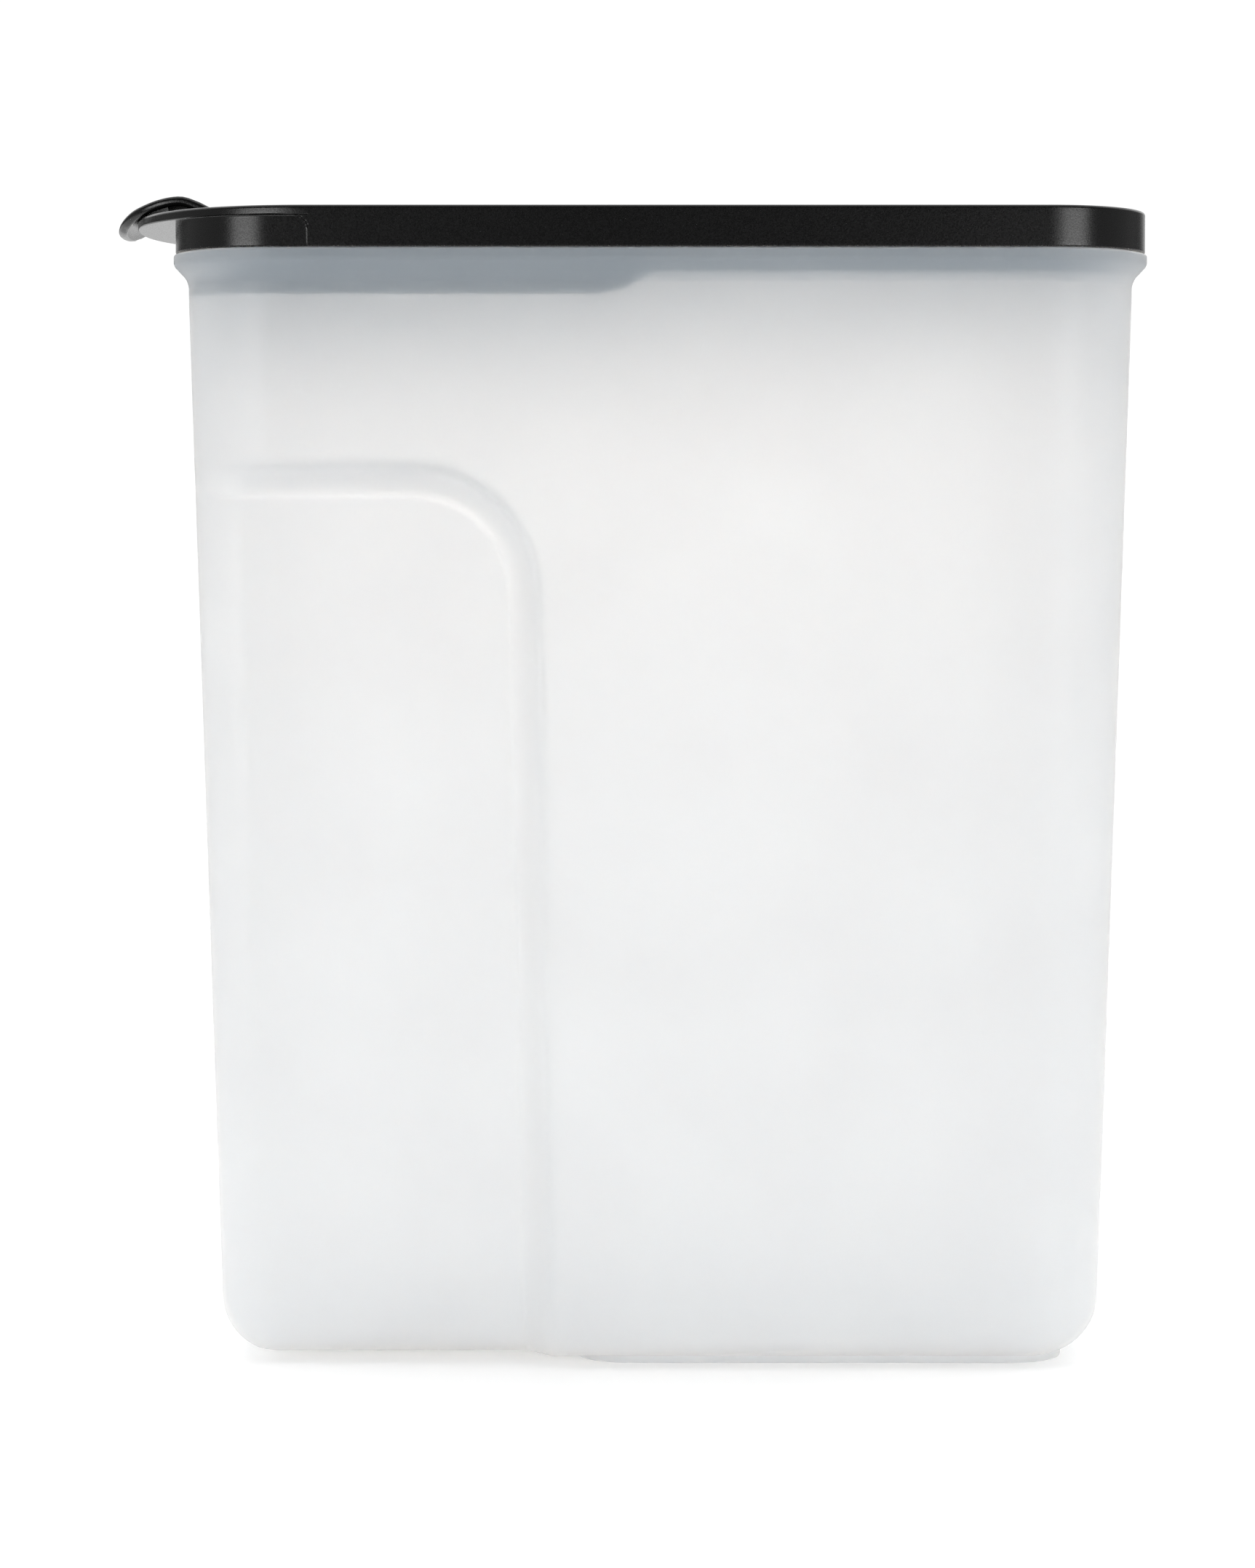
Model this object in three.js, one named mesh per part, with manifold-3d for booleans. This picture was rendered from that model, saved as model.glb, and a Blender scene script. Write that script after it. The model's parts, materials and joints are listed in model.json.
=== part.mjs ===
// Food canister: a tapered see-through container with a moulded grip, a lift-off lid with a pouring nose,
// and a flip cap with a thumb tab that is hinged across the middle of the lid.
// Millimetres, +Z up. The nose points to -X, and Y runs across the canister.
// The origin is on the resting plane, below the middle of the whole outline, thumb tab included.
import * as THREE from "three";
import { mergeVertices } from "three/addons/utils/BufferGeometryUtils.js";
import Module from "manifold-3d";

const wasm = await Module();
wasm.setup();

// ---------- Driving dimensions ----------
const gap = 0.3; // clearance between pieces that touch

// Lid outline, seen from above
const lidHalfLength = 119.1;
const lidHalfWidth = 54;
const lidCorner = 25;
const noseStart = 84.8; // distance from the middle where the straight sides turn into the nose
const noseReach = 131.2; // distance from the middle to the tip of the nose
const noseSquareness = 2.2; // exponent of the nose's superellipse, 2 would be an ellipse

// Heights
const lidTop = 284;
const plateThickness = 2.4;
const skirtHeight = 10;
const underside = 1.4; // the container's floor, above the foot ring's resting face

// Container
const wall = 2;
const baseHalfLength = 108.65; // of the side walls, carried down to the resting plane
const lean = 0.0277; // outward lean of every side wall, per millimetre of height
const baseCorner = 19;
const baseRadius = 14.5; // round edge between the walls and the floor
const lipProud = 0.5; // the rim's outer lip stands this far outside the lid
const lipThickness = 4.1; // down to where the lip's round underside ends
const neckInset = 2.3; // upright neck inside the lid's skirt, from the lid's outline
const neckWall = 2.3;

// Grip: a step in both long sides, from the pouring end to just past a third of the length
const gripDepth = 8;
const gripSlope = 5.8; // how far the slanted step runs along the side while it goes gripDepth deep
const gripTop = 220.2;
const gripRadius = 30.2;
const gripEdgeAtBase = -27;
const gripLean = 0.02; // the step leans towards the pouring end, per millimetre of height

// Foot ring below the full-width part
const footFrom = -21;
const footTo = 100.5;
const footHalfWidth = 33;
const footWidth = 3.6;
const footCorner = 14;

// Lid
const skirtThickness = 1.8;
const endSkirtInset = 0.7; // the skirt below the nose is stepped in
const plugInset = 5.3; // inner skirt that plugs the neck, from the lid's outline
const plugThickness = 1.6;
const plugDrop = 15.8; // from the lid's top to the end of the inner skirt, away from the nose
const plugDropAtNose = 18.8;
const plugTaper = 0.3;
const stackingRecess = { from: 10, to: 104, halfWidth: 40, corner: 14, depth: 0.8 };

// Flip cap, its well in the lid, and the pouring hole below it
const hingeX = -8;
const hingeBelowTop = 2.4;
const capEnd = -112.5;
const capHalfWidth = 39.4;
const capCorner = 20;
const capThickness = 2.2;
const capBelowTop = 0.2;
const capClearance = 0.5;
const wellFloorBelowTop = 2.8;
const wellFloorThickness = 2;
const holeFrom = -104;
const holeTo = -42;
const holeHalfWidth = 32;
const holeCorner = 12;
const collarDrop = 14;
const collarThickness = 1.6;
const capPlug = { clearance: 0.9, thickness: 2.6, depth: 6.6, grooveDepth: 1.2, grooveFrom: 2.1, grooveTo: 4.9 };

// Hinge
const barrelRadius = 2.2;
const barrelHalfLength = 39;
const pinRadius = 1.5;
const pinHalfLength = 42.6;
const socketRadius = 1.6;
const troughHalfWidth = 3.4;
const troughDepthBelowAxis = 2.7;
const troughChamfer = 1.7;

// Thumb tab: an arched plate. tabArch is its upper face along the middle, as X and height above the lid.
const tabThickness = 2.2;
const tabArch = [
  [-103, -0.2], [-107, 0.3], [-110.5, 1.5], [-113.8, 3.2], [-118, 4.8], [-122, 5.3],
  [-126.5, 4.5], [-129.9, 3.3], [-132.8, 2.1], [-134.8, 0.9], [-136.5, -0.6],
];
const tabBow = 3; // the tip's corners stay this far behind its middle
const tabHalfWidth = 22;
const tabCornerStart = -114; // where the tab's sides begin to round in towards the tip
const tabSquareness = 4;

// How finely curves are cut
const cornerSteps = 7;
const noseSteps = 26;
const edgeSteps = 5;
const roundSides = 24;

// The whole outline runs from the tab's tip to the rim's lip, and the origin is at its middle.
const tabTip = tabArch.at(-1)[0];
const originShift = -(tabTip + lidHalfLength + lipProud) / 2;

// ---------- Outlines seen from above ----------

// A rounded rectangle, anticlockwise. Every call gives the same number of points.
function roundedOutline(halfLength, halfWidth, radius, centreX = 0) {
  const corners = [[1, 1], [-1, 1], [-1, -1], [1, -1]];
  const points = [];
  corners.forEach(([sideX, sideY], corner) => {
    for (let step = 0; step <= cornerSteps; step++) {
      const angle = ((corner + step / cornerSteps) * Math.PI) / 2;
      points.push(new THREE.Vector2(
        centreX + sideX * (halfLength - radius) + radius * Math.cos(angle),
        sideY * (halfWidth - radius) + radius * Math.sin(angle),
      ));
    }
  });
  return points;
}

// A rounded rectangle between two places on X
function spanOutline(from, to, halfWidth, radius) {
  return roundedOutline((to - from) / 2, halfWidth, radius, (from + to) / 2);
}

// The -X end of an outline: half a superellipse from startX to tipX
function superellipseEnd(startX, tipX, halfWidth, squareness, steps) {
  const points = [];
  for (let step = 0; step <= steps; step++) {
    const angle = Math.PI / 2 + (step / steps) * Math.PI;
    const along = Math.abs(Math.cos(angle)) ** (2 / squareness);
    const across = Math.abs(Math.sin(angle)) ** (2 / squareness) * Math.sign(Math.sin(angle));
    points.push(new THREE.Vector2(startX + (tipX - startX) * along, halfWidth * across));
  }
  return points;
}

// The lid's outline moved in by inset, without the nose
function lidOutline(inset) {
  return roundedOutline(lidHalfLength - inset, lidHalfWidth - inset, lidCorner - inset);
}

// The lid's top plate, with the nose
function plateOutline(inset) {
  const corners = lidOutline(inset);
  const nose = superellipseEnd(-noseStart, -noseReach + inset, lidHalfWidth - inset, noseSquareness, noseSteps);
  const perCorner = cornerSteps + 1;
  return [...corners.slice(0, perCorner), ...nose, ...corners.slice(3 * perCorner)];
}

function capOutline(grow) {
  const end = capEnd - grow;
  const halfWidth = capHalfWidth + grow;
  const corner = capCorner + grow;
  const corners = spanOutline(end, hingeX, halfWidth, corner);
  const perCorner = cornerSteps + 1;
  const square = [new THREE.Vector2(hingeX, halfWidth), new THREE.Vector2(hingeX, -halfWidth)];
  return [square[0], ...corners.slice(perCorner, 3 * perCorner), square[1]];
}

function holeOutline(inset) {
  return spanOutline(holeFrom + inset, holeTo - inset, holeHalfWidth - inset, holeCorner - inset);
}

// ---------- Solids ----------

// A closed skin through rings that go up. Each ring is an anticlockwise outline at a height.
function loft(rings) {
  const count = rings[0].outline.length;
  const positions = rings.flatMap(({ outline, z }) => outline.flatMap((point) => [point.x, point.y, z]));
  const faces = [];
  for (let level = 0; level < rings.length - 1; level++)
    for (let side = 0; side < count; side++) {
      const low = level * count + side;
      const lowNext = level * count + ((side + 1) % count);
      faces.push(low, lowNext, lowNext + count, low, lowNext + count, low + count);
    }
  const topStart = (rings.length - 1) * count;
  for (const [a, b, c] of THREE.ShapeUtils.triangulateShape(rings[0].outline, [])) faces.push(a, c, b);
  for (const [a, b, c] of THREE.ShapeUtils.triangulateShape(rings.at(-1).outline, []))
    faces.push(topStart + a, topStart + b, topStart + c);
  const geometry = new THREE.BufferGeometry();
  geometry.setAttribute("position", new THREE.Float32BufferAttribute(positions, 3));
  geometry.setIndex(faces);
  return geometry;
}

function prism(outline, from, to) {
  return loft([{ outline, z: from }, { outline, z: to }]);
}

// A mirror image across the XZ plane, with its faces turned back to point outwards
function mirroredAcross(geometry) {
  const copy = geometry.clone().scale(1, -1, 1);
  const index = copy.index.array;
  for (let face = 0; face < index.length; face += 3)
    [index[face + 1], index[face + 2]] = [index[face + 2], index[face + 1]];
  return copy;
}

function box(from, to) {
  const size = to.map((value, axis) => value - from[axis]);
  const geometry = new THREE.BoxGeometry(...size);
  return geometry.translate(...from.map((value, axis) => value + size[axis] / 2));
}

// A rod along Y with its middle on the XZ plane
function rodAcross(radius, halfLength, x, z) {
  return new THREE.CylinderGeometry(radius, radius, 2 * halfLength, roundSides).translate(x, 0, z);
}

// A flat XZ shape carried along Y to both sides
function acrossPrism(points, halfWidth) {
  const shape = new THREE.Shape(points);
  const geometry = new THREE.ExtrudeGeometry(shape, { depth: 2 * halfWidth, bevelEnabled: false });
  return geometry.rotateX(Math.PI / 2).translate(0, halfWidth, 0);
}

function toSolid(geometry) {
  const bare = geometry.clone();
  bare.deleteAttribute("normal");
  bare.deleteAttribute("uv");
  const merged = mergeVertices(bare, 1e-4);
  return new wasm.Manifold(new wasm.Mesh({
    numProp: 3,
    vertProperties: new Float32Array(merged.attributes.position.array),
    triVerts: new Uint32Array(merged.index.array),
  }));
}

function join(...geometries) {
  return geometries.map(toSolid).reduce((whole, piece) => whole.add(piece));
}

function toMesh(name, solid, material) {
  const { vertProperties, triVerts } = solid.getMesh();
  const geometry = new THREE.BufferGeometry();
  geometry.setAttribute("position", new THREE.BufferAttribute(vertProperties, 3));
  geometry.setIndex(new THREE.BufferAttribute(triVerts, 1));
  geometry.computeVertexNormals();
  const mesh = new THREE.Mesh(geometry, material);
  mesh.name = name;
  return mesh;
}

// ---------- Container ----------

const neckStart = lidTop - 22; // where the leaning walls meet the rim's fillet
const lipTop = lidTop - skirtHeight - gap;
const rimTop = lidTop - plateThickness - 2.5;

// One ring of the leaning walls, moved in by inset. narrowing moves only the long sides in, and lengthens
// the ends a little, so that the narrowed ring never cuts the ends.
function wallRing(z, inset, narrowing) {
  const halfLength = baseHalfLength + lean * z;
  const halfWidth = halfLength - lidHalfLength + lidHalfWidth;
  const topCorner = lidCorner - (lidHalfLength - baseHalfLength - lean * neckStart);
  const corner = baseCorner + ((topCorner - baseCorner) * z) / neckStart;
  const smallestCorner = 5;
  const lengthening = narrowing > 0 ? 0.4 : 0;
  const outline = roundedOutline(
    halfLength - inset + lengthening,
    halfWidth - inset - narrowing,
    Math.max(corner - narrowing - inset, smallestCorner),
  );
  return { outline, z };
}

// The walls from the floor up to the neck. inside is 0 for the outer skin and the wall's thickness for the cavity.
function wallRings(inside, narrowing) {
  const radius = baseRadius - inside;
  const rings = [];
  for (let step = 0; step <= edgeSteps; step++) {
    const angle = ((step / edgeSteps) * Math.PI) / 2;
    const z = underside + inside + radius * (1 - Math.cos(angle));
    rings.push(wallRing(z, inside + radius * (1 - Math.sin(angle)), narrowing));
  }
  rings.push(wallRing(neckStart, inside, narrowing));
  return rings;
}

// Points of an arc in the profile plane, as inset from the lid's outline and height
function profileArc(centreInset, centreZ, radius, fromDegrees, toDegrees, steps) {
  const points = [];
  for (let step = 0; step <= steps; step++) {
    const angle = THREE.MathUtils.degToRad(fromDegrees + ((toDegrees - fromDegrees) * step) / steps);
    points.push([centreInset - radius * Math.cos(angle), centreZ + radius * Math.sin(angle)]);
  }
  return points;
}

function outerRimProfile() {
  const wallInset = lidHalfLength - baseHalfLength - lean * neckStart;
  const filletRadius = 5;
  const lipRadius = 2.4;
  const topRadius = 0.5;
  const lipInset = -lipProud;
  return [
    ...profileArc(wallInset - filletRadius, lipTop - 8.5, filletRadius, 180, 130, 4),
    ...profileArc(lipInset + lipRadius, lipTop - lipThickness + lipRadius, lipRadius, -50, 0, 3),
    ...profileArc(lipInset + topRadius, lipTop - topRadius, topRadius, 0, 90, 2),
    [neckInset, lipTop],
    [neckInset + 0.1, rimTop - 0.4],
    [neckInset + 0.5, rimTop],
  ];
}

function lidRings(profile) {
  return profile.map(([inset, z]) => ({ outline: lidOutline(inset), z }));
}

// What the grip cuts from one side wall: its outline shrinks down the slanted step, and is upright below it.
// grow makes it larger all round.
function gripTool(grow) {
  const beyondEnd = -lidHalfLength - 20;
  const belowBase = -20;
  const outside = -6;
  const stepEnd = gripDepth + wall;
  const inside = gripDepth + 26;
  const arcSteps = 8;
  const centreX = gripEdgeAtBase - gripLean * (gripTop - gripRadius) - gripRadius;
  const rings = [inside, stepEnd, outside].map((depth) => {
    const shrink = (gripSlope * Math.min(depth, stepEnd)) / gripDepth - grow;
    const radius = gripRadius - shrink;
    const outline = [
      new THREE.Vector2(beyondEnd, belowBase),
      new THREE.Vector2(gripEdgeAtBase - gripLean * belowBase - shrink, belowBase),
    ];
    for (let step = 0; step <= arcSteps; step++) {
      const angle = ((step / arcSteps) * Math.PI) / 2;
      outline.push(new THREE.Vector2(
        centreX + radius * Math.cos(angle),
        gripTop - gripRadius + radius * Math.sin(angle),
      ));
    }
    outline.push(new THREE.Vector2(beyondEnd, gripTop - shrink));
    return { outline, z: -depth };
  });
  const wallAtBase = baseHalfLength - lidHalfLength + lidHalfWidth;
  return loft(rings).rotateX(Math.PI / 2 + Math.atan(lean)).translate(0, -wallAtBase, 0);
}

// A skin of the container, with the grip stepped in on both long sides
function grippedSkin(inside, grow, upperRings) {
  const wide = toSolid(loft([...wallRings(inside, 0), ...upperRings]));
  const core = wallRings(inside, gripDepth);
  const narrow = toSolid(loft([{ outline: core[0].outline, z: underside - 5 }, ...core]));
  const tool = gripTool(grow);
  const steps = join(tool, mirroredAcross(tool)).subtract(narrow);
  return wide.subtract(steps);
}

function makeContainer() {
  const slantedWall = wall * Math.hypot(1, gripSlope / gripDepth);
  const outer = grippedSkin(0, 0, lidRings(outerRimProfile()));
  const innerInset = neckInset + neckWall;
  const cavity = grippedSkin(wall, slantedWall, lidRings([
    [innerInset + 0.2, neckStart + 5],
    [innerInset, neckStart + 9],
    [innerInset, rimTop + 1],
  ]));
  const footInner = spanOutline(
    footFrom + footWidth, footTo - footWidth, footHalfWidth - footWidth, footCorner - footWidth,
  );
  const foot = toSolid(prism(spanOutline(footFrom, footTo, footHalfWidth, footCorner), 0, underside + 1))
    .subtract(toSolid(prism(footInner, -1, underside)));
  return outer.subtract(cavity).add(foot);
}

// ---------- Lid ----------

const axisZ = lidTop - hingeBelowTop;
const wellFloor = lidTop - wellFloorBelowTop;
const plateUnderside = lidTop - plateThickness;

function makeTopPlate() {
  const edge = 0.8;
  const rings = [
    { outline: plateOutline(0.3), z: plateUnderside },
    { outline: plateOutline(0), z: plateUnderside + 0.3 },
    { outline: plateOutline(0), z: lidTop - edge },
    { outline: plateOutline(0.3 * edge), z: lidTop - 0.3 * edge },
    { outline: plateOutline(edge), z: lidTop },
  ];
  const { from, to, halfWidth, corner, depth } = stackingRecess;
  const recess = prism(spanOutline(from, to, halfWidth, corner), lidTop - depth, lidTop + 1);
  return toSolid(loft(rings)).subtract(toSolid(recess));
}

function makeSkirt() {
  const bottom = lidTop - skirtHeight;
  const top = plateUnderside + 0.5;
  const flare = 0.15;
  const main = toSolid(loft([{ outline: lidOutline(0), z: bottom }, { outline: lidOutline(flare), z: top }]));
  const behindNose = box([-noseStart, -lidHalfWidth - 5, bottom - 1], [noseReach, lidHalfWidth + 5, top + 1]);
  const end = (inset, z) => ({
    outline: roundedOutline(lidHalfLength - inset, lidHalfWidth - endSkirtInset - inset, lidCorner - endSkirtInset),
    z,
  });
  const belowNose = toSolid(loft([end(0, bottom), end(flare, top)]));
  const hollow = toSolid(prism(lidOutline(skirtThickness), bottom - 1, plateUnderside));
  return main.intersect(toSolid(behindNose)).add(belowNose).subtract(hollow);
}

function makePlugSkirt() {
  const bottom = lidTop - plugDropAtNose;
  const top = plateUnderside + 0.5;
  const outer = loft([
    { outline: lidOutline(plugInset + plugTaper), z: bottom },
    { outline: lidOutline(plugInset), z: lidTop - plugDrop + 2 },
    { outline: lidOutline(plugInset), z: top },
  ]);
  const inner = prism(lidOutline(plugInset + plugThickness), bottom - 1, top + 1);
  const shorter = box(
    [hingeX, -lidHalfWidth, bottom - 1],
    [lidHalfLength, lidHalfWidth, lidTop - plugDrop],
  );
  return toSolid(outer).subtract(toSolid(inner)).subtract(toSolid(shorter));
}

// The trough that the cap's barrel turns in, with a chamfer that lets the cap lie back
function troughShape(grow) {
  const left = hingeX - troughHalfWidth - grow;
  const right = hingeX + troughHalfWidth + grow;
  const floor = axisZ - troughDepthBelowAxis - grow;
  return [
    new THREE.Vector2(left, floor),
    new THREE.Vector2(right, floor),
    new THREE.Vector2(right, lidTop - troughChamfer),
    new THREE.Vector2(right + troughChamfer + 1, lidTop + 1),
    new THREE.Vector2(left, lidTop + 1),
  ];
}

function makeLid() {
  const shell = 1.7;
  const socketBlock = 4;
  const troughHalfLength = barrelHalfLength + 0.6;
  const well = toSolid(prism(capOutline(capClearance), wellFloor, lidTop + 5));
  const trough = toSolid(acrossPrism(troughShape(0), troughHalfLength));
  const withinPlug = toSolid(prism(lidOutline(plugInset), wellFloor - 20, lidTop));
  const tub = toSolid(prism(capOutline(capClearance + shell), wellFloor - wellFloorThickness, plateUnderside + 1))
    .intersect(withinPlug);
  const troughTub = toSolid(box(
    [hingeX - troughHalfWidth - shell, -troughHalfLength - socketBlock, axisZ - troughDepthBelowAxis - shell],
    [hingeX + troughHalfWidth + shell, troughHalfLength + socketBlock, plateUnderside + 1],
  ));
  const collarBottom = lidTop - collarDrop;
  const collar = toSolid(prism(holeOutline(-collarThickness), collarBottom, wellFloor - 0.5));
  const hole = toSolid(prism(holeOutline(0), collarBottom - 1, lidTop));
  const socket = toSolid(rodAcross(socketRadius, pinHalfLength + 0.4, hingeX, axisZ));
  return makeTopPlate()
    .add(makeSkirt())
    .add(makePlugSkirt())
    .add(tub)
    .add(troughTub)
    .add(collar)
    .subtract(well)
    .subtract(trough)
    .subtract(hole)
    .subtract(socket);
}

// The soft ring between the container's rim and the lid, held between the lid's two skirts
function makeRimSeal() {
  const outer = prism(lidOutline(skirtThickness + gap), rimTop + gap, plateUnderside - gap);
  const inner = prism(lidOutline(plugInset - gap), rimTop, plateUnderside);
  return toSolid(outer).subtract(toSolid(inner));
}

// ---------- Flip cap ----------

const capTop = lidTop - capBelowTop;
const capUnderside = capTop - capThickness;

function makeThumbTab() {
  const curve = new THREE.SplineCurve(tabArch.map(([x, rise]) => new THREE.Vector2(x, lidTop + rise)));
  const steps = 26;
  const upper = [];
  const lower = [];
  for (let step = 0; step <= steps; step++) {
    const point = curve.getPoint(step / steps);
    const tangent = curve.getTangent(step / steps);
    upper.push(point);
    lower.push(new THREE.Vector2(point.x - tangent.y * tabThickness, point.y + tangent.x * tabThickness));
  }
  const root = tabArch[0][0];
  const sections = 12;
  const rings = [];
  for (let section = 0; section <= sections; section++) {
    const across = (2 * section) / sections - 1;
    const outline = [...upper, ...lower.toReversed()].map(({ x, y }) => {
      const towardsTip = Math.max(0, (x - root) / (tabTip - root));
      return new THREE.Vector2(x + tabBow * across ** 2 * towardsTip ** 2, y);
    });
    rings.push({ outline, z: across * (tabHalfWidth + 1) });
  }
  const arch = toSolid(loft(rings).rotateX(Math.PI / 2));
  const sides = [new THREE.Vector2(root, -tabHalfWidth), new THREE.Vector2(root, tabHalfWidth)];
  const end = superellipseEnd(tabCornerStart, tabTip - 0.5, tabHalfWidth, tabSquareness, noseSteps);
  return arch.intersect(toSolid(prism([...sides, ...end], lidTop - 20, lidTop + 20)));
}

// The ring below the cap that drops into the pouring hole, with a groove for its seal
function makeCapPlug() {
  const { clearance, thickness, depth, grooveDepth, grooveFrom, grooveTo } = capPlug;
  const outer = holeOutline(clearance);
  const groove = holeOutline(clearance + grooveDepth);
  const bottom = capUnderside - depth;
  const rings = [
    { outline: outer, z: bottom },
    { outline: outer, z: capUnderside - grooveTo },
    { outline: groove, z: capUnderside - grooveTo },
    { outline: groove, z: capUnderside - grooveFrom },
    { outline: outer, z: capUnderside - grooveFrom },
    { outline: outer, z: capUnderside + 0.5 },
  ];
  const inner = prism(holeOutline(clearance + thickness), bottom - 1, capUnderside);
  return toSolid(loft(rings)).subtract(toSolid(inner));
}

function makeFlipCap() {
  const plate = prism(capOutline(0), capUnderside, capTop);
  const barrel = rodAcross(barrelRadius, barrelHalfLength, hingeX, axisZ);
  const socketRelief = box([hingeX - 6, barrelHalfLength, capUnderside - 1], [hingeX + 1, capHalfWidth + 1, capTop + 1]);
  return toSolid(plate)
    .subtract(toSolid(socketRelief))
    .subtract(toSolid(mirroredAcross(socketRelief)))
    .add(toSolid(barrel))
    .add(toSolid(rodAcross(pinRadius, pinHalfLength, hingeX, axisZ)))
    .add(makeCapPlug())
    .add(makeThumbTab());
}

function makeCapSeal() {
  const { clearance, grooveDepth, grooveFrom, grooveTo } = capPlug;
  const from = capUnderside - grooveTo + gap;
  const to = capUnderside - grooveFrom - gap;
  const outer = prism(holeOutline(gap), from, to);
  const inner = prism(holeOutline(clearance + grooveDepth - gap), from - 1, to + 1);
  return toSolid(outer).subtract(toSolid(inner));
}

// ---------- Materials and assembly ----------

const milkyPlastic = new THREE.MeshStandardMaterial({
  color: 0xe6e8ea, roughness: 0.35, metalness: 0, transparent: true, opacity: 0.6,
});
const blackPlastic = new THREE.MeshStandardMaterial({ color: 0x17181a, roughness: 0.4, metalness: 0 });
const greySilicone = new THREE.MeshStandardMaterial({ color: 0xb9bcc0, roughness: 0.6, metalness: 0 });

const canister = new THREE.Group();
canister.add(toMesh("container_body", makeContainer(), milkyPlastic));

const lidAssembly = new THREE.Group();
lidAssembly.add(toMesh("lid_base", makeLid(), blackPlastic));
lidAssembly.add(toMesh("rim_seal", makeRimSeal(), greySilicone));

const capAssembly = new THREE.Group();
capAssembly.add(toMesh("flip_cap", makeFlipCap(), blackPlastic));
capAssembly.add(toMesh("cap_seal", makeCapSeal(), greySilicone));
lidAssembly.add(capAssembly);
canister.add(lidAssembly);

const part = new THREE.Group();
canister.position.x = originShift;
part.add(canister);

export default part;
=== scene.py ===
"""Looks of the food canister: a milky container, a black lid with a pouring nose, and a hinged flip cap.

Shapes are worked out in millimetres, with X from the container's own middle, and turned into metres in the
shared frame when a mesh is made. The pieces made here replace the faceted CAD nodes with finer, rounded ones.
"""
import json
import math

import bpy
import numpy as np
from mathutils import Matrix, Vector


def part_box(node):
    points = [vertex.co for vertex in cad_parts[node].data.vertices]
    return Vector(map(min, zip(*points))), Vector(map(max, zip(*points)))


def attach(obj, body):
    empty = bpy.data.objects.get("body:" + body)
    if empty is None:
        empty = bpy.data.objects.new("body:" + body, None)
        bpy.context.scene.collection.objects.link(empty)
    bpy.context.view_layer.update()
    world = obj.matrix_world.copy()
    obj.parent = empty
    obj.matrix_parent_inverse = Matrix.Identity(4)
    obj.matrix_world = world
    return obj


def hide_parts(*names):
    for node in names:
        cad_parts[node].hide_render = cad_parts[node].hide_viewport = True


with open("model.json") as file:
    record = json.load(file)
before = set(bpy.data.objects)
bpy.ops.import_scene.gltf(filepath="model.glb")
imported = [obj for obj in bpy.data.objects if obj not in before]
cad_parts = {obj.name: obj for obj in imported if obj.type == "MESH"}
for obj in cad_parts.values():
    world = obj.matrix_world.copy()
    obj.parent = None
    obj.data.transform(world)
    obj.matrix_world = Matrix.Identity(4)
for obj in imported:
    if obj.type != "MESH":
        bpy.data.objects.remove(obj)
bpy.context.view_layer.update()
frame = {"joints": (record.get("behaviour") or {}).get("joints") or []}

MM = 0.001


def box_mm(node):
    """Lowest and highest corner of a CAD node, in millimetres."""
    low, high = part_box(node)
    return np.array(low) / MM, np.array(high) / MM


CONTAINER_LOW, CONTAINER_HIGH = box_mm("container_body")
LID_LOW, LID_HIGH = box_mm("lid_base")
RIM_SEAL_LOW, RIM_SEAL_HIGH = box_mm("rim_seal")
CAP_HIGH = box_mm("flip_cap")[1]
CAP_SEAL_LOW, CAP_SEAL_HIGH = box_mm("cap_seal")
HINGE = next(joint for joint in frame["joints"] if joint["name"] == "cap_hinge")

# ---------- Sizes, in millimetres. X is measured from the middle of the container. ----------
MIDDLE_X = (CONTAINER_LOW[0] + CONTAINER_HIGH[0]) / 2

# Lid, from the frame
LID_TOP = LID_HIGH[2]
LID_HALF_LENGTH = LID_HIGH[0] - MIDDLE_X
LID_HALF_WIDTH = LID_HIGH[1]
NOSE_REACH = MIDDLE_X - LID_LOW[0]
# Under the nose the plug reaches deeper than in the CAD, so the dark band it shows through the milky wall
# reaches lower: the plug is real, and its extra depth stands in for shade below the lid
PLUG_DEEPER_THAN_CAD = 2.5
PLUG_BOTTOM_AT_NOSE = LID_LOW[2] - PLUG_DEEPER_THAN_CAD
LID_CORNER = 25
NOSE_START = 84.8
NOSE_SQUARENESS = 2.2
PLATE_THICKNESS = 2.4
PLATE_UNDERSIDE = LID_TOP - PLATE_THICKNESS
SKIRT_BOTTOM = LID_TOP - 10
SKIRT_THICKNESS = 1.8
END_SKIRT_INSET = 0.7
SEAM_RADIUS = 3.6
PLUG_INSET = 5.3
PLUG_THICKNESS = 1.6
PLUG_BOTTOM = LID_TOP - 15.8
STACKING_RECESS = dict(start=10, end=104, half_width=40, corner=14)
STACKING_DEPTH = 0.8

# Container
RIM_TOP = CONTAINER_HIGH[2]
LIP_PROUD = CONTAINER_HIGH[0] - MIDDLE_X - LID_HALF_LENGTH
LIP_TOP = RIM_TOP - 5.4
LIP_THICKNESS = 4.1
NECK_INSET = 2.3
NECK_WALL = 2.3
NECK_START = 262
WALL = 2
UNDERSIDE = 1.4
BASE_HALF_LENGTH = 108.65
LEAN = 0.0277
BASE_CORNER = 19
BASE_RADIUS = 14.5

# Grip: the part of both long sides that steps in. RUN is how far along X the step takes to reach its depth.
GRIP_DEPTH = 8
GRIP_RUN = 5.8
GRIP_TOP = 220.2
GRIP_RADIUS = 30.2
GRIP_EDGE_AT_BASE = -27
GRIP_LEAN = 0.02
GRIP_SMALLEST_CORNER = 2.5

# Foot ring
FOOT = dict(start=-21, end=100.5, half_width=33, corner=14)
FOOT_WIDTH = 3.6

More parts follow.
